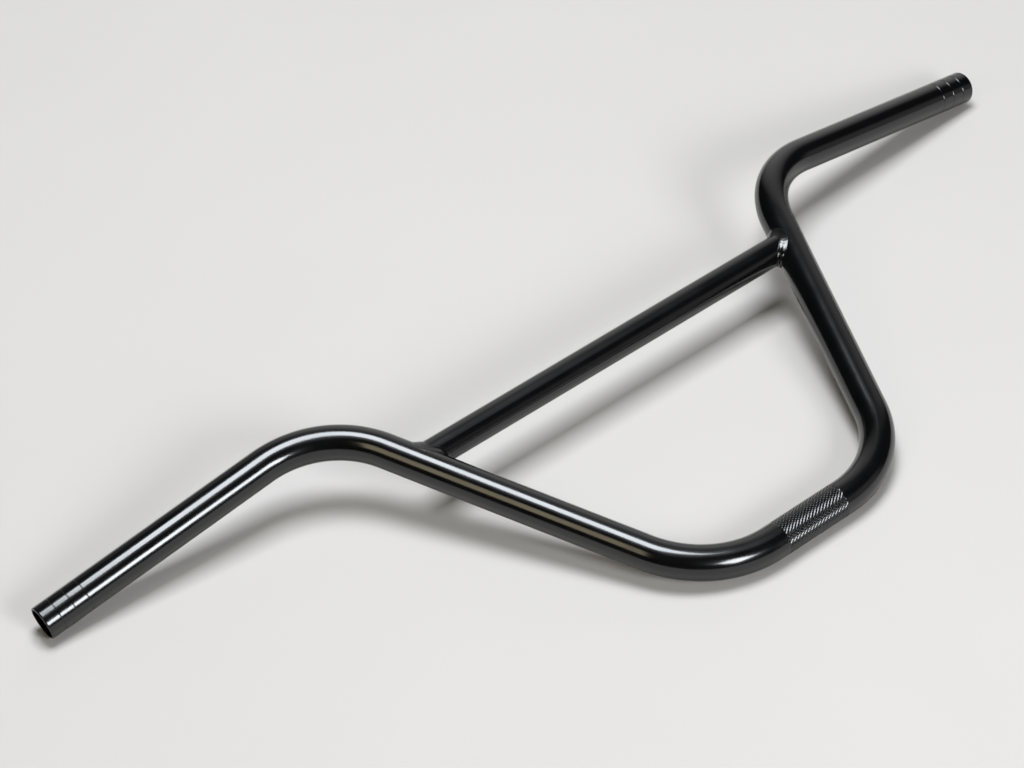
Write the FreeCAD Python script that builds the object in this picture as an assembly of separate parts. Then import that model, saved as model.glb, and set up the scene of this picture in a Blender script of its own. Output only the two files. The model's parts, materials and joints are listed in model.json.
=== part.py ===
import FreeCAD, Part
import math
import os

# A welded steel handlebar for a BMX bicycle, lying on a floor as it comes to rest:
# on its clamp run and on the rims of its two grip ends, with the knees in the air.
# X runs across the bar, Y up the rise and Z up from the floor.
# The origin is the middle of the clamp run. Lengths are in millimetres, angles in degrees.

# Main tube
TUBE_DIAMETER = 22.2
TUBE_WALL = 1.3
OVERALL_WIDTH = 775.0
RISE = 244.0
LOWER_CORNER_SPAN = 150.0
LEG_ANGLE = 66.0
BACKSWEEP = 10.5
UPSWEEP = 1.0
BEND_RADIUS = 70.0
END_CHAMFER = 0.4

# Crossbar
CROSSBAR_DIAMETER = 19.05
CROSSBAR_WALL = 1.0
CROSSBAR_BELOW_BEND = 21.0
VENT_DIAMETER = 5.0

# Weld beads
WELD_LEG = 3.6

# How closely a point has to lie on a surface to count as on it
ON_SURFACE = 0.01

# Rounds in which the resting tilt is narrowed down
TILT_ROUNDS = 10

tube_radius = TUBE_DIAMETER / 2
crossbar_radius = CROSSBAR_DIAMETER / 2
origin = FreeCAD.Vector(0, 0, 0)
across = FreeCAD.Vector(1, 0, 0)


def unit(vector):
    """The vector's direction, with length 1."""
    return vector * (1 / vector.Length)


def mirrored(point):
    """The same point on the other side of the bar's middle."""
    return FreeCAD.Vector(-point.x, point.y, point.z)


def leg_direction():
    """Direction of the right leg, from its lower bend up to its knee."""
    angle = math.radians(LEG_ANGLE)
    return FreeCAD.Vector(math.cos(angle), math.sin(angle), 0)


def grip_direction():
    """Direction of the right grip, outward from its knee, swept up and back."""
    up = math.radians(UPSWEEP)
    back = math.radians(BACKSWEEP)
    level = math.cos(up)
    return FreeCAD.Vector(level * math.cos(back), math.sin(up), -level * math.sin(back))


def right_corners():
    """Corners of the right half of the centreline: lower bend, knee and grip end.

    The leg and the grip are as long as the overall width and the rise ask for.
    """
    leg = leg_direction()
    grip = grip_direction()
    lower = FreeCAD.Vector(LOWER_CORNER_SPAN / 2, 0, 0)
    reach = OVERALL_WIDTH / 2 - lower.x
    spread = leg.x * grip.y - leg.y * grip.x
    leg_length = (reach * grip.y - RISE * grip.x) / spread
    grip_length = (leg.x * RISE - leg.y * reach) / spread
    knee = lower + leg * leg_length
    return lower, knee, knee + grip * grip_length


def bend_setback(into, out):
    """Length that a bend takes off each of the two straight runs that it joins."""
    return BEND_RADIUS * math.tan(into.getAngle(out) / 2)


def centreline():
    """Straight runs joined by four tangent arcs, from the left end to the right end."""
    lower, knee, end = right_corners()
    corners = [mirrored(end), mirrored(knee), mirrored(lower), lower, knee, end]
    edges = []
    start = corners[0]
    for before, corner, after in zip(corners, corners[1:], corners[2:]):
        into = unit(corner - before)
        out = unit(after - corner)
        setback = bend_setback(into, out)
        cut_off = math.hypot(BEND_RADIUS, setback) - BEND_RADIUS
        arc_start = corner - into * setback
        arc_middle = corner + unit(out - into) * cut_off
        arc_end = corner + out * setback
        edges.append(Part.LineSegment(start, arc_start).toShape())
        edges.append(Part.Arc(arc_start, arc_middle, arc_end).toShape())
        start = arc_end
    edges.append(Part.LineSegment(start, corners[-1]).toShape())
    return Part.Wire(edges)


def bent_rod(radius):
    """A solid rod of the given radius along the whole centreline."""
    end = mirrored(right_corners()[2])
    section = Part.makeCircle(radius, end, mirrored(grip_direction()))
    return centreline().makePipe(Part.Face(Part.Wire(section)))


def crossbar_joint():
    """Point on the right leg's centreline where the crossbar's centreline meets it."""
    leg = leg_direction()
    knee = right_corners()[1]
    return knee - leg * (bend_setback(leg, grip_direction()) + CROSSBAR_BELOW_BEND)


def crossbar_rod(radius):
    """A solid rod of the given radius from leg to leg, ending on their centrelines."""
    joint = crossbar_joint()
    return Part.makeCylinder(radius, 2 * joint.x, mirrored(joint), across)


def is_end_rim(edge):
    """Whether an edge is a rim of one of the two open ends."""
    end = right_corners()[2]
    centre = edge.BoundBox.Center
    nearest = min((centre - end).Length, (centre - mirrored(end)).Length)
    return nearest < ON_SURFACE


def make_main_bar():
    """Bent tube with broken edges at its ends and a vent hole under each crossbar end."""
    tube = bent_rod(tube_radius).cut(bent_rod(tube_radius - TUBE_WALL))
    tube = tube.makeChamfer(END_CHAMFER, [edge for edge in tube.Edges if is_end_rim(edge)])
    return tube.cut(crossbar_rod(VENT_DIAMETER / 2))


def make_crossbar():
    """Straight tube whose two ends are coped to sit on the legs."""
    tube = crossbar_rod(crossbar_radius).cut(crossbar_rod(crossbar_radius - CROSSBAR_WALL))
    return tube.cut(bent_rod(tube_radius))


def off_axis(point, axis_point, direction):
    """Distance of a point from an axis."""
    return (point - axis_point).cross(direction).Length


def is_saddle(edge):
    """Whether an edge is the line on which the crossbar's and the leg's skins meet."""
    joint = crossbar_joint()
    middle = edge.valueAt((edge.FirstParameter + edge.LastParameter) / 2)
    from_leg = off_axis(middle, joint, leg_direction()) - tube_radius
    from_crossbar = off_axis(middle, joint, across) - crossbar_radius
    return abs(from_leg) < ON_SURFACE and abs(from_crossbar) < ON_SURFACE


def make_right_weld():
    """Fillet weld all round the coped joint, in the corner between crossbar and leg."""
    joint = crossbar_joint()
    leg = leg_direction()
    lowest = joint - leg * CROSSBAR_BELOW_BEND
    leg_run = Part.makeCylinder(tube_radius, 2 * CROSSBAR_BELOW_BEND, lowest, leg)
    crossbar_run = Part.makeCylinder(crossbar_radius, joint.x, joint, across * -1)
    joined = leg_run.fuse(crossbar_run)
    filled = joined.makeChamfer(WELD_LEG, [edge for edge in joined.Edges if is_saddle(edge)])
    return filled.cut([leg_run, crossbar_run])


def make_crossbar_welds():
    """The two beads, one at each end of the crossbar."""
    right_weld = make_right_weld()
    return Part.makeCompound([right_weld.mirror(origin, across), right_weld])


def resting_tilt():
    """Angle about X that brings the clamp run and both end rims down to one floor."""
    grip = grip_direction()
    contact = right_corners()[2] - grip * END_CHAMFER
    lean = math.atan2(contact.z, contact.y)
    tilt = -lean
    for _ in range(TILT_ROUNDS):
        down = FreeCAD.Vector(0, -math.sin(tilt), -math.cos(tilt))
        rim_drop = tube_radius * math.sin(grip.getAngle(down))
        tilt = math.asin((rim_drop - tube_radius) / math.hypot(contact.y, contact.z)) - lean
    return math.degrees(tilt)


pieces = {
    "main_bar": make_main_bar(),
    "crossbar": make_crossbar(),
    "crossbar_welds": make_crossbar_welds(),
}

os.makedirs("parts", exist_ok=True)
for name, shape in pieces.items():
    shape.rotate(origin, across, resting_tilt())
    shape.exportStep("parts/" + name + ".step")
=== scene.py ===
import json
import math
from collections import namedtuple

import bpy
import numpy as np
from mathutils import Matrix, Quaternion, Vector


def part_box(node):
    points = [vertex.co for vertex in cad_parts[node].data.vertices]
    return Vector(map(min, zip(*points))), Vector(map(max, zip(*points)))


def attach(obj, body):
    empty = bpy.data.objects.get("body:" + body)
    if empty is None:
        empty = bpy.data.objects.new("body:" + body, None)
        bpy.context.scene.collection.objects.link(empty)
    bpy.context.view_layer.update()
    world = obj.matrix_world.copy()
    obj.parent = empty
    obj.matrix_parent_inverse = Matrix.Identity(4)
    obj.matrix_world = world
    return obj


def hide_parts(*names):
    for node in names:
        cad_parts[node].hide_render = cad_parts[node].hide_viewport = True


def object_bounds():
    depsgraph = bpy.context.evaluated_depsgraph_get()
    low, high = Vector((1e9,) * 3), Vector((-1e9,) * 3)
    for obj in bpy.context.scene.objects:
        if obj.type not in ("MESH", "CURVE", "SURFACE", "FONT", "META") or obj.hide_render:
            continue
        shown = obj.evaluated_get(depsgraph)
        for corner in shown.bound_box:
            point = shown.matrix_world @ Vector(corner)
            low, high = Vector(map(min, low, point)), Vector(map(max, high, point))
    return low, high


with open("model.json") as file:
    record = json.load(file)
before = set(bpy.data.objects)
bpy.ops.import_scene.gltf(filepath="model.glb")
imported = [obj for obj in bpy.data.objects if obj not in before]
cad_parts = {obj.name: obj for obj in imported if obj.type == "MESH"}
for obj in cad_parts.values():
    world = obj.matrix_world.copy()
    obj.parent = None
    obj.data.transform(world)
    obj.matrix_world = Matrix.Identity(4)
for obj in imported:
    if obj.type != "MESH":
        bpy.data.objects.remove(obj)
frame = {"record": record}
cad_box = [list(corner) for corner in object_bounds()]

# A welded steel BMX handlebar with a black coat, lying on a pale studio floor.
# X runs across the bar, Y up the rise and Z up. Lengths are in metres, and the angles of the
# camera and the lights in degrees. Functions work in radians.

MM = 0.001

# Main tube: wall, bends, rounded edges of the open ends, and the spacing of its mesh
TUBE_WALL = 1.3 * MM
BEND_RADIUS = 70 * MM
END_CHAMFER = 0.4 * MM
OUTER_ROUND = 0.8 * MM
INNER_ROUND = 0.3 * MM
RIM_STEPS = 5
RIM_MARGIN = 0.2 * MM
RINGS_PER_BEND = 30
BORE_RINGS_PER_BEND = 10
STRAIGHT_STEP = 12 * MM
AROUND = 120
CORNER_ROUNDS = 12

# Cut marks, fine grooves turned round both grips as guides for shortening the bar
MARK_SPACING = 10 * MM
MARKS_PER_GRIP = 3
MARK_WIDTH = 0.6 * MM
MARK_FLOOR = 0.08 * MM
MARK_DEPTH = 0.17 * MM
MARK_MARGIN = 0.1 * MM
MARK_WALL_SHARES = (0.0, 0.15, 0.85, 1.0)

# Knurl on the clamp run: two families of slanting grooves, one cut deeper than the other.
# The flanks take up a share of the pitch, and the shallow family leaves a share of the depth uncut.
# A row of the mesh is one step of the pitch, and the grooves fade out over the last rows.
KNURL_STARTS = 30
KNURL_PITCH = 2.83 * MM
KNURL_STEPS = 10
KNURL_ROWS = 89
KNURL_FADE_ROWS = 4
KNURL_DEPTH = 0.32 * MM
KNURL_FLANK = 0.8
KNURL_SHALLOW_SHARE = 0.5
KNURL_ROW_STEP = KNURL_PITCH / KNURL_STEPS
KNURL_POINTS = KNURL_STARTS * KNURL_STEPS

# Crossbar
CROSSBAR_WALL = 1.0 * MM
CROSSBAR_AROUND = 96
CROSSBAR_STEPS = 48
CROSSBAR_MARGIN = 0.2 * MM

# Weld beads: rippled hollow faces, with a ridge beside the leg where the bead faces the clamp.
# Each wobble of a bead's size has its waves round the crossbar, its share and its lag in radians.
WELD_LEG = 3.2 * MM
WELD_UPPER_EXTRA = 0.14
WELD_WOBBLES = ((3, 0.04, 1.0), (7, 0.03, 2.2))
WELD_HOLLOW = 0.07 * MM
WELD_RIDGE = 0.4 * MM
WELD_RIDGE_POWER = 14
WELD_FLARE = 0.6 * MM
WELD_TOE = 0.03 * MM
WELD_ROOT = 0.5 * MM
WELD_ALONG = 480
WELD_ACROSS = 16
RIPPLES = 34
RIPPLE_HEIGHT = 0.05 * MM
RIPPLE_CURL = 0.55
RIPPLE_LEAN = 0.6

# Black coat: refraction, tones, roughness, orange peel, and polishing lines round the grips
COAT_IOR = 1.6
COAT_DARK = (0.0018, 0.0018, 0.0020)
COAT_LIGHT = (0.0036, 0.0036, 0.0039)
COAT_ROUGHNESS = (0.14, 0.19)
CLOUD_SCALE = 60
CLOUD_DETAIL = 4
CLOUD_RANGE = (0.3, 0.7)
PEEL_SCALE = 700
PEEL_DETAIL = 2
PEEL_STRENGTH = 0.05
PEEL_HEIGHT = 0.1 * MM
LINES_REACH = 150 * MM
LINES_SCALE = 2200
LINES_DETAIL = 4
LINES_HEIGHT = 0.012 * MM
LINES_STRENGTH = (0.1, 1.0)

# Floor
FLOOR_REACH = 8.0
FLOOR_ROUGHNESS = 0.9
FLOOR_SHINE = 0.1
FLOOR_CLOUD_SCALE = 4
FLOOR_DARK = (0.606, 0.577, 0.549)
FLOOR_LIGHT = (0.634, 0.604, 0.576)

# Camera, fitted to the bar's outline in the photograph, with its lens in millimetres
CAMERA_PLACE = (-1.029840, -1.065593, 1.361101)
CAMERA_AIM = (-0.045778, 0.220575, 0.0)
CAMERA_ROLL = -4.333
CAMERA_LENS = 117.473
SENSOR_WIDTH = 36

# Lights: two softboxes, a pale ceiling round the top one, a warm panel at the left, and a dark
# room with two pale glows
Softbox = namedtuple("Softbox", "name place aim size roll spread radiance colour")
SOFTBOXES = (
    Softbox(
        name="top_softbox",
        place=(0.177, 0.600, 2.839),
        aim=(0.177, 0.600, 0.0),
        size=(1.19, 1.46),
        roll=0,
        spread=180,
        radiance=15.3,
        colour=(0.90, 0.95, 1.0),
    ),
    Softbox(
        name="ceiling_bounce",
        place=(0.330, 0.380, 2.950),
        aim=(0.330, 0.380, 0.0),
        size=(2.8, 2.45),
        roll=0,
        spread=180,
        radiance=0.38,
        colour=(0.90, 0.95, 1.0),
    ),
    Softbox(
        name="front_softbox",
        place=(-0.130, -2.040, 1.200),
        aim=(-0.290, 0.243, 0.020),
        size=(0.85, 0.72),
        roll=33,
        spread=120,
        radiance=23.0,
        colour=(0.92, 0.96, 1.0),
    ),
    Softbox(
        name="warm_panel",
        place=(-2.702, -0.388, 2.301),
        aim=(-1.780, -0.148, 2.031),
        size=(0.80, 1.69),
        roll=0,
        spread=180,
        radiance=2.8,
        colour=(1.0, 0.88, 0.60),
    ),
)
Glow = namedtuple("Glow", "towards core edge level")
GLOWS = (
    Glow(towards=(0.684, 0.661, 0.309), core=8, edge=38, level=0.75),
    Glow(towards=(0.680, -0.704, 0.208), core=11, edge=21, level=0.28),
)
GLOW_COLOUR = (1.0, 0.99, 0.98)
ROOM_LEVEL = 0.005

Run = namedtuple("Run", "start ahead level turn_axis length")

mounts = {mount["name"]: mount for mount in frame["record"]["mounts"]}
tube_radius = mounts["stem_clamp"]["dims"]["r_mm"] * MM
bore_radius = tube_radius - TUBE_WALL


def unit(vector):
    """The vector's direction, with length 1."""
    return vector / np.linalg.norm(vector)


def turned(vector, axis, angle):
    """A vector turned about an axis, by an angle in radians."""
    beside = np.cross(axis, vector)
    along = axis * np.dot(axis, vector)
    return along + (vector - along) * math.cos(angle) + beside * math.sin(angle)


def mirrored(vector):
    """The same point or direction on the other side of the bar's middle."""
    return vector * np.array([-1.0, 1.0, 1.0])


def angle_between(first, second):
    """Angle between two unit vectors, in radians."""
    return math.acos(np.dot(first, second))


def setback(into, out):
    """Length that a bend takes off each of the two straight runs that it joins."""
    return BEND_RADIUS * math.tan(angle_between(into, out) / 2)


def mount_run(name):
    """Start, end and direction of the straight run that a mount of the frame gives."""
    mount = mounts[name]
    centre = np.array(mount["pos_m"])
    axis = unit(np.array(mount["axis"]))
    half = axis * mount["dims"]["length_mm"] * MM / 2
    return centre - half, centre + half, axis


def right_corners():
    """Corners of the right half of the centreline: middle, lower bend, knee and open end."""
    clamp_start, clamp_end, across = mount_run("stem_clamp")
    grip_start, grip_end, outward = mount_run("right_grip")
    lower = clamp_end
    knee = grip_start
    # The leg's direction and the setbacks depend on each other, so they are narrowed down
    for _ in range(CORNER_ROUNDS):
        leg = unit(knee - lower)
        lower = clamp_end + across * setback(across, leg)
        knee = grip_start - outward * setback(leg, outward)
    middle = (clamp_start + clamp_end) / 2
    return middle, lower, knee, grip_end + outward * END_CHAMFER


def right_runs():
    """Straight runs and bends of the right half of the centreline, from the middle out."""
    corners = right_corners()
    start = corners[0]
    ahead = unit(corners[1] - start)
    level = np.array([0.0, 1.0, 0.0])
    runs = []
    for corner, after in zip(corners[1:], corners[2:]):
        out = unit(after - corner)
        cut = setback(ahead, out)
        angle = angle_between(ahead, out)
        turn_axis = unit(np.cross(ahead, out))
        bend_start = corner - ahead * cut
        runs.append(Run(start, ahead, level, None, np.linalg.norm(bend_start - start)))
        runs.append(Run(bend_start, ahead, level, turn_axis, BEND_RADIUS * angle))
        level = turned(level, turn_axis, angle)
        start = corner + out * cut
        ahead = out
    runs.append(Run(start, ahead, level, None, np.linalg.norm(corners[-1] - start)))
    return runs


RUNS = right_runs()
HALF_LENGTH = sum(run.length for run in RUNS)


def station(distance):
    """Centre of the tube at a distance along it from its middle, and two directions across it.

    Distances below zero lie on the left half, which mirrors the right one.
    """
    left = abs(distance)
    for run in RUNS:
        if left <= run.length or run is RUNS[-1]:
            break
        left -= run.length
    if run.turn_axis is None:
        centre = run.start + run.ahead * left
        level = run.level
        ahead = run.ahead
    else:
        angle = left / BEND_RADIUS
        pivot = run.start + np.cross(run.turn_axis, run.ahead) * BEND_RADIUS
        centre = pivot + turned(run.start - pivot, run.turn_axis, angle)
        level = turned(run.level, run.turn_axis, angle)
        ahead = turned(run.ahead, run.turn_axis, angle)
    up = np.cross(ahead, level)
    if distance < 0:
        return mirrored(centre), mirrored(level), mirrored(up)
    return centre, level, up


class Skin:
    """Vertices and faces of a mesh that is built up ring by ring."""

    def __init__(self):
        self.points = []
        self.faces = []

    def ring(self, points):
        """Adds a ring of points and gives their numbers."""
        first = len(self.points)
        self.points.extend(points)
        return list(range(first, first + len(points)))

    def join(self, one, two):
        """Closes the strip between two rings with as many points each, by four-sided faces."""
        for here in range(len(one)):
            after = (here + 1) % len(one)
            self.faces.append((one[here], one[after], two[after], two[here]))

    def join_uneven(self, one, two):
        """Closes the strip between two rings with different numbers of points."""
        here = 0
        there = 0
        while here < len(one) or there < len(two):
            ahead_here = (here + 1) * len(two)
            ahead_there = (there + 1) * len(one)
            from_one = one[here % len(one)]
            from_two = two[there % len(two)]
            if ahead_here <= ahead_there:
                here += 1
                self.faces.append((from_one, one[here % len(one)], from_two))
            else:
                there += 1
                self.faces.append((from_one, two[there % len(two)], from_two))

    def join_grooved(self, one, two, one_heights, two_heights, middle_heights):
        """Closes a strip with triangles whose shared sides follow the creases."""
        for here in range(len(one)):
            after = (here + 1) % len(one)
            rising = (one_heights[here] + two_heights[after]) / 2
            falling = (one_heights[after] + two_heights[here]) / 2
            middle = middle_heights[here]
            if abs(rising - middle) < abs(falling - middle):
                self.faces.append((one[here], one[after], two[after]))
                self.faces.append((one[here], two[after], two[here]))
            else:
                self.faces.append((one[here], one[after], two[here]))
                self.faces.append((one[after], two[after], two[here]))

    def piece(self, name, material):
        """The finished object, shaded smooth."""
        mesh = bpy.data.meshes.new(name)
        mesh.from_pydata([tuple(point) for point in self.points], [], self.faces)
        mesh.shade_smooth()
        mesh.materials.append(material)
        piece = bpy.data.objects.new(name, mesh)
        bpy.context.scene.collection.objects.link(piece)
        return piece


def tube_ring(distance, radii, count):
    """Points of a ring round the tube's centreline, with one radius or one for each point."""
    centre, level, up = station(distance)
    angles = np.arange(count) * 2 * math.pi / count
    rays = np.outer(np.cos(angles), level) + np.outer(np.sin(angles), up)
    return centre + rays * np.broadcast_to(radii, count)[:, None]


def groove(phase):
    """Share of the way from the nearest groove line to the crest between two of them."""
    return 2 * np.abs(phase - np.round(phase))


def knurl_heights(row, shift):
    """Height of the knurled skin along one row: 0 on the plain tube, less in a groove.

    The shift moves the points along the row. The numbers of steps put each crease on a mesh line.
    """
    steps = np.arange(KNURL_POINTS) + shift
    deep = groove((steps + row) / KNURL_STEPS) / KNURL_FLANK
    shallow = groove((steps - row) / KNURL_STEPS) / KNURL_FLANK + KNURL_SHALLOW_SHARE
    level = np.minimum(np.minimum(deep, shallow), 1.0)
    fade = (KNURL_ROWS - 1 - abs(row)) / KNURL_FADE_ROWS
    return KNURL_DEPTH * (level - 1) * min(max(fade, 0.0), 1.0)


def mark_profile(distance):
    """Rings of one cut mark: distances along the tube, with the tube's radius at each."""
    wall = (MARK_WIDTH - MARK_FLOOR) / 2
    side = [(MARK_WIDTH / 2 + MARK_MARGIN, tube_radius)]
    for share in MARK_WALL_SHARES:
        side.append((MARK_WIDTH / 2 - wall * share, tube_radius - MARK_DEPTH * share))
    before = [(distance - reach, radius) for reach, radius in side]
    return before + [(distance + reach, radius) for reach, radius in reversed(side)]


def run_rings(start, length, step):
    """Evenly spaced distances over a run, without its start."""
    count = max(1, round(length / step))
    return [start + length * (index + 1) / count for index in range(count)]


def plain_profile():
    """Rings of the tube's outer skin from past the knurl to the open end's rim."""
    distances = [(KNURL_ROWS + 1) * KNURL_ROW_STEP]
    begun = 0.0
    for run in RUNS:
        step = STRAIGHT_STEP if run.turn_axis is None else run.length / RINGS_PER_BEND
        begin = max(begun, distances[0])
        distances += run_rings(begin, begun + run.length - begin, step)
        begun += run.length
    marks = [HALF_LENGTH - MARK_SPACING * (index + 1) for index in range(MARKS_PER_GRIP)]
    clear = MARK_WIDTH + MARK_MARGIN
    rim_start = HALF_LENGTH - OUTER_ROUND - RIM_MARGIN
    profile = [(distance, tube_radius) for distance in distances if distance < rim_start]
    profile = [ring for ring in profile if all(abs(ring[0] - mark) > clear for mark in marks)]
    for mark in marks:
        profile += mark_profile(mark)
    profile.append((rim_start, tube_radius))
    return sorted(profile)


def rim_profile():
    """Rings over the open end: rounded outer edge, flat end and rounded inner edge."""
    angles = [math.pi / 2 * index / RIM_STEPS for index in range(RIM_STEPS + 1)]
    outer = []
    inner = []
    for angle in angles:
        short = 1 - math.sin(angle)
        narrow = 1 - math.cos(angle)
        outer.append((HALF_LENGTH - OUTER_ROUND * short, tube_radius - OUTER_ROUND * narrow))
        inner.append((HALF_LENGTH - INNER_ROUND * short, bore_radius + INNER_ROUND * narrow))
    return outer + inner[::-1]


def bore_profile():
    """Rings of the bore from just inside the open end to the middle."""
    distances = []
    begun = 0.0
    for run in RUNS:
        step = run.length if run.turn_axis is None else run.length / BORE_RINGS_PER_BEND
        distances += run_rings(begun, run.length, step)
        begun += run.length
    inside = HALF_LENGTH - INNER_ROUND - RIM_MARGIN
    distances = [distance for distance in distances if distance < inside] + [inside]
    return [(distance, bore_radius) for distance in reversed(distances)]


def add_knurl(skin):
    """Adds the knurled skin of the clamp run and gives its left and right edge rings."""
    rows = range(-KNURL_ROWS, KNURL_ROWS + 1)
    heights = {row: knurl_heights(row, 0) for row in rows}
    rings = {}
    for row in rows:
        radii = tube_radius + heights[row]
        rings[row] = skin.ring(tube_ring(row * KNURL_ROW_STEP, radii, KNURL_POINTS))
    for row in rows[:-1]:
        between = knurl_heights(row + 0.5, 0.5)
        skin.join_grooved(rings[row], rings[row + 1], heights[row], heights[row + 1], between)
    return rings[-KNURL_ROWS], rings[KNURL_ROWS]


def make_bar_tube(material):
    """The bent tube: knurled clamp run, plain skin, cut marks, open ends and bore."""
    skin = Skin()
    left_edge, right_edge = add_knurl(skin)
    profile = plain_profile() + rim_profile() + bore_profile()
    bore_ends = []
    for side, edge in ((1, right_edge), (-1, left_edge)):
        loops = [edge]
        for distance, radius in profile:
            loops.append(skin.ring(tube_ring(side * distance, radius, AROUND)))
        for one, two in zip(loops, loops[1:]):
            join = skin.join if len(one) == len(two) else skin.join_uneven
            pair = (one, two) if side > 0 else (two, one)
            join(*pair)
        bore_ends.append(loops[-1])
    skin.join(*bore_ends)
    return skin.piece("bar_tube", material)


def crossbar_joint():
    """Point where the crossbar's and right leg's axes meet, crossbar's radius, leg's direction."""
    low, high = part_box("crossbar")
    centre = np.array((low + high) / 2)
    radius = (high.y - low.y) / 2
    leg = RUNS[2]
    joint = leg.start + leg.ahead * (centre[1] - leg.start[1]) / leg.ahead[1]
    return joint, radius, leg.ahead


def saddle_point(angle, radius):
    """Point of a crossbar skin line on the right leg's skin, at an angle round the crossbar.

    Of the two points where the line meets the leg's round, it is the one nearer the middle.
    """
    joint, _, leg = crossbar_joint()
    spoke = np.array([0.0, math.cos(angle), math.sin(angle)]) * radius
    lean = leg[0]
    rise = np.dot(spoke, leg)
    square = 1 - lean * lean
    offset = radius * radius - rise * rise - tube_radius * tube_radius
    reach = (lean * rise - math.sqrt(lean * lean * rise * rise - square * offset)) / square
    return joint + spoke + np.array([reach, 0.0, 0.0])


def crossbar_rings(skin, radius, steps):
    """Rings of a crossbar skin from its left cope to its right cope."""
    angles = np.arange(CROSSBAR_AROUND) * 2 * math.pi / CROSSBAR_AROUND
    cope = np.array([saddle_point(angle, radius) for angle in angles])
    near_end = 1 - CROSSBAR_MARGIN / cope[:, 0].min()
    shares = [-1.0] + list(np.linspace(-near_end, near_end, steps)) + [1.0]
    return [skin.ring(cope * np.array([share, 1.0, 1.0])) for share in shares]


def make_crossbar(material):
    """The straight tube between the legs, with both ends coped to their round."""
    skin = Skin()
    radius = crossbar_joint()[1]
    outer = crossbar_rings(skin, radius, CROSSBAR_STEPS)
    inner = crossbar_rings(skin, radius - CROSSBAR_WALL, 2)
    loop = outer + inner[::-1]
    for one, two in zip(loop, loop[1:] + loop[:1]):
        skin.join(one, two)
    return skin.piece("crossbar_tube", material)


def onto_round(point, axis_point, axis, radius):
    """A point moved straight onto a round skin."""
    foot = axis_point + axis * np.dot(point - axis_point, axis)
    return foot + unit(point - foot) * radius


def ripple(travel, across):
    """Height of the bead's overlapping ripples, from 0 to 1, at a place along and across it."""
    phase = travel * RIPPLES + RIPPLE_CURL * across * across
    phase -= math.floor(phase)
    return math.sin(math.pi * phase ** RIPPLE_LEAN)


def toward(vector, guide):
    """The vector or its opposite, whichever points the guide's way."""
    return vector if np.dot(vector, guide) >= 0 else -vector


def weld_size(angle):
    """Length of the bead's legs at an angle round the crossbar, uneven as laid by hand."""
    stretch = 1 + WELD_UPPER_EXTRA * math.cos(angle)
    for waves, share, lag in WELD_WOBBLES:
        stretch += share * math.sin(waves * angle + lag)
    return WELD_LEG * stretch


def weld_face(travel, crossbar_toe, leg_toe, outward):
    """Points across the bead's face, from toe to toe, at a share of the way round."""
    chord = leg_toe - crossbar_toe
    outward = unit(outward - chord * np.dot(outward, chord) / np.dot(chord, chord))
    ridge = WELD_RIDGE * math.sin(math.pi * travel) ** WELD_RIDGE_POWER
    face = []
    for index in range(WELD_ACROSS + 1):
        share = 2 * index / WELD_ACROSS - 1
        crown = 1 - share * share
        height = ridge * math.sin(math.pi * share) - WELD_HOLLOW * crown
        height += RIPPLE_HEIGHT * (ripple(travel, share) - 0.5) * crown
        face.append(crossbar_toe + chord * (share + 1) / 2 + outward * height)
    return face


def weld_section(travel):
    """Closed outline of the right weld bead at a share of the way round the crossbar."""
    angle = travel * 2 * math.pi
    joint, radius, leg = crossbar_joint()
    across = np.array([1.0, 0.0, 0.0])
    root = saddle_point(angle, radius)
    crossbar_out = np.array([0.0, math.cos(angle), math.sin(angle)])
    leg_out = unit(root - joint - leg * np.dot(root - joint, leg))
    outward = crossbar_out + leg_out
    along = unit(np.cross(crossbar_out, leg_out))
    down_crossbar = toward(unit(np.cross(along, crossbar_out)), leg_out)
    down_leg = toward(unit(np.cross(along, leg_out)), crossbar_out)
    size = weld_size(angle)
    far = size + WELD_FLARE
    crossbar_toe = onto_round(root + down_crossbar * size, joint, across, radius + WELD_TOE)
    leg_toe = onto_round(root + down_leg * size, joint, leg, tube_radius + WELD_TOE)
    outline = [onto_round(root + down_crossbar * far, joint, across, radius - WELD_TOE)]
    outline += weld_face(travel, crossbar_toe, leg_toe, outward)
    outline.append(onto_round(root + down_leg * far, joint, leg, tube_radius - WELD_TOE))
    outline.append(root - outward * WELD_ROOT)
    return np.array(outline)


def make_weld(side, material):
    """The bead round one end of the crossbar: 1 for the right end, -1 for the left."""
    skin = Skin()
    sections = []
    for index in range(WELD_ALONG):
        section = weld_section(index / WELD_ALONG)
        sections.append(skin.ring(section if side > 0 else mirrored(section)))
    for one, two in zip(sections, sections[1:] + sections[:1]):
        pair = (two, one) if side > 0 else (one, two)
        skin.join(*pair)
    return skin.piece("right_weld" if side > 0 else "left_weld", material)


def node_with(tree, kind, values):
    """Adds a shader node with the given values on its inputs."""
    node = tree.nodes.new(kind)
    for name, value in values.items():
        node.inputs[name].default_value = value
    return node


def noise(tree, place, scale, detail):
    """Output of a cloudy noise over the surface."""
    node = node_with(tree, "ShaderNodeTexNoise", {"Scale": scale, "Detail": detail})
    tree.links.new(place, node.inputs["Vector"])
    return node.outputs["Fac"]


def two_tone(tree, share, dark, light):
    """Output of a colour between two tones."""
    node = tree.nodes.new("ShaderNodeMix")
    node.data_type = "RGBA"
    node.inputs["A"].default_value = (*dark, 1)
    node.inputs["B"].default_value = (*light, 1)
    tree.links.new(share, node.inputs["Factor"])
    return node.outputs["Result"]


def ranged(tree, value, source, target):
    """Output of a value carried from one range to another."""
    limits = {"From Min": source[0], "From Max": source[1], "To Min": target[0], "To Max": target[1]}
    node = node_with(tree, "ShaderNodeMapRange", limits)
    tree.links.new(value, node.inputs["Value"])
    return node.outputs["Result"]


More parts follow.
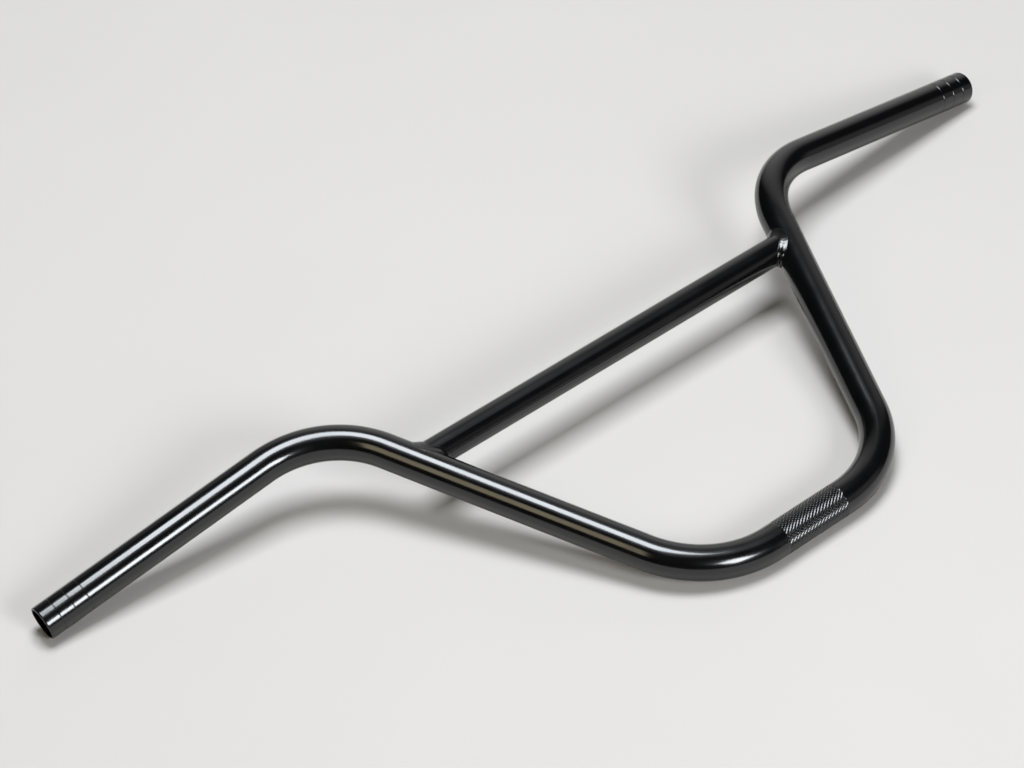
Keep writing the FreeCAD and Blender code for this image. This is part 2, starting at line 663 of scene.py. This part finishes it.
def along_grips(tree, place):
    """Output of the distance along the grips' axis, the same on both sides."""
    split = tree.nodes.new("ShaderNodeSeparateXYZ")
    outward = tree.nodes.new("ShaderNodeMath")
    outward.operation = "ABSOLUTE"
    joined = tree.nodes.new("ShaderNodeCombineXYZ")
    measured = tree.nodes.new("ShaderNodeVectorMath")
    measured.operation = "DOT_PRODUCT"
    measured.inputs[1].default_value = RUNS[-1].ahead
    tree.links.new(place, split.inputs["Vector"])
    tree.links.new(split.outputs["X"], outward.inputs[0])
    tree.links.new(outward.outputs["Value"], joined.inputs["X"])
    tree.links.new(split.outputs["Y"], joined.inputs["Y"])
    tree.links.new(split.outputs["Z"], joined.inputs["Z"])
    tree.links.new(joined.outputs["Vector"], measured.inputs[0])
    return measured.outputs["Value"]


def orange_peel(tree, place):
    """Output of a normal with the coat's faint orange peel."""
    peel = node_with(tree, "ShaderNodeBump", {"Strength": PEEL_STRENGTH, "Distance": PEEL_HEIGHT})
    tree.links.new(noise(tree, place, PEEL_SCALE, PEEL_DETAIL), peel.inputs["Height"])
    return peel.outputs["Normal"]


def polishing_lines(tree, place, normal):
    """Output of the normal with fine lines round the grips, which grow stronger outward."""
    along = along_grips(tree, place)
    grip_end = float(np.dot(right_corners()[-1], RUNS[-1].ahead))
    zone = (grip_end - LINES_REACH, grip_end - MARK_SPACING * MARKS_PER_GRIP)
    lines = node_with(tree, "ShaderNodeTexNoise", {"Scale": LINES_SCALE, "Detail": LINES_DETAIL})
    lines.noise_dimensions = "1D"
    bump = node_with(tree, "ShaderNodeBump", {"Distance": LINES_HEIGHT})
    tree.links.new(along, lines.inputs["W"])
    tree.links.new(ranged(tree, along, zone, LINES_STRENGTH), bump.inputs["Strength"])
    tree.links.new(lines.outputs["Fac"], bump.inputs["Height"])
    tree.links.new(normal, bump.inputs["Normal"])
    return bump.outputs["Normal"]


def make_black_coat():
    """Thin semi-gloss black coat on steel, with faint polishing lines round the grips."""
    material = bpy.data.materials.new("black_coat")
    material.use_nodes = True
    tree = material.node_tree
    shader = tree.nodes["Principled BSDF"]
    shader.inputs["IOR"].default_value = COAT_IOR
    place = tree.nodes.new("ShaderNodeTexCoord").outputs["Object"]
    cloud = noise(tree, place, CLOUD_SCALE, CLOUD_DETAIL)
    tree.links.new(two_tone(tree, cloud, COAT_DARK, COAT_LIGHT), shader.inputs["Base Color"])
    tree.links.new(ranged(tree, cloud, CLOUD_RANGE, COAT_ROUGHNESS), shader.inputs["Roughness"])
    normal = polishing_lines(tree, place, orange_peel(tree, place))
    tree.links.new(normal, shader.inputs["Normal"])
    return material


def make_floor_paper():
    """Matt pale paper with a faint cloudiness."""
    material = bpy.data.materials.new("floor_paper")
    material.use_nodes = True
    tree = material.node_tree
    shader = tree.nodes["Principled BSDF"]
    shader.inputs["Roughness"].default_value = FLOOR_ROUGHNESS
    shader.inputs["Specular IOR Level"].default_value = FLOOR_SHINE
    place = tree.nodes.new("ShaderNodeTexCoord").outputs["Object"]
    cloud = noise(tree, place, FLOOR_CLOUD_SCALE, CLOUD_DETAIL)
    tree.links.new(two_tone(tree, cloud, FLOOR_DARK, FLOOR_LIGHT), shader.inputs["Base Color"])
    return material


def make_floor():
    """A plain pale floor under the bar's lowest point."""
    mesh = bpy.data.meshes.new("floor")
    height = cad_box[0][2]
    signs = [(-1, -1), (1, -1), (1, 1), (-1, 1)]
    corners = [(x * FLOOR_REACH, y * FLOOR_REACH, height) for x, y in signs]
    mesh.from_pydata(corners, [], [(0, 1, 2, 3)])
    mesh.materials.append(make_floor_paper())
    floor = bpy.data.objects.new("floor", mesh)
    bpy.context.scene.collection.objects.link(floor)


def aimed(place, aim, roll):
    """Rotation of a lamp or camera that faces a point, rolled about its own axis."""
    facing = (Vector(aim) - Vector(place)).to_track_quat("-Z", "Y")
    return (facing @ Quaternion((0, 0, 1), math.radians(roll))).to_euler()


def add_softbox(box):
    """A rectangular softbox that faces a point, with the given radiance straight ahead."""
    half_spread = math.radians(box.spread) / 2
    # With the same power, a lamp of narrower spread is brighter straight ahead
    narrowing = 1 - half_spread / math.tan(half_spread)
    light = bpy.data.lights.new(box.name, "AREA")
    light.shape = "RECTANGLE"
    light.size = box.size[0]
    light.size_y = box.size[1]
    light.color = box.colour
    light.spread = 2 * half_spread
    light.energy = math.pi * box.radiance * box.size[0] * box.size[1] * narrowing
    lamp = bpy.data.objects.new(box.name, light)
    lamp.location = box.place
    lamp.rotation_euler = aimed(box.place, box.aim, box.roll)
    lamp.visible_camera = False
    bpy.context.scene.collection.objects.link(lamp)


def glow_strength(tree, sky, glow):
    """Output of one glow's strength over the sky, full in its core and none past its edge."""
    nearness = tree.nodes.new("ShaderNodeVectorMath")
    nearness.operation = "DOT_PRODUCT"
    nearness.inputs[1].default_value = unit(np.array(glow.towards))
    tree.links.new(sky, nearness.inputs[0])
    edge = math.cos(math.radians(glow.edge))
    core = math.cos(math.radians(glow.core))
    return ranged(tree, nearness.outputs["Value"], (edge, core), (0.0, glow.level))


def make_world():
    """A dark room with a pale glow low behind the bar and a fainter one at the right."""
    world = bpy.data.worlds.new("studio")
    world.use_nodes = True
    tree = world.node_tree
    background = tree.nodes["Background"]
    background.inputs["Color"].default_value = (*GLOW_COLOUR, 1)
    sky = tree.nodes.new("ShaderNodeTexCoord").outputs["Generated"]
    strength = background.inputs["Strength"]
    for glow in GLOWS:
        added = tree.nodes.new("ShaderNodeMath")
        tree.links.new(added.outputs["Value"], strength)
        tree.links.new(glow_strength(tree, sky, glow), added.inputs[0])
        strength = added.inputs[1]
    strength.default_value = ROOM_LEVEL
    bpy.context.scene.world = world


def make_camera():
    """The camera, from the photograph's viewing angle."""
    data = bpy.data.cameras.new("camera")
    data.sensor_width = SENSOR_WIDTH
    data.lens = CAMERA_LENS
    camera = bpy.data.objects.new("camera", data)
    camera.location = CAMERA_PLACE
    camera.rotation_euler = aimed(CAMERA_PLACE, CAMERA_AIM, CAMERA_ROLL)
    bpy.context.scene.collection.objects.link(camera)
    bpy.context.scene.camera = camera


def dress(piece, node):
    """Puts a piece in the place of a node of the frame."""
    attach(piece, "root")
    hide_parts(node)


bpy.context.scene.view_settings.view_transform = "Standard"
make_camera()
make_world()
for softbox in SOFTBOXES:
    add_softbox(softbox)
make_floor()
coat = make_black_coat()
dress(make_bar_tube(coat), "main_bar")
dress(make_crossbar(coat), "crossbar")
for side in (-1, 1):
    dress(make_weld(side, coat), "crossbar_welds")
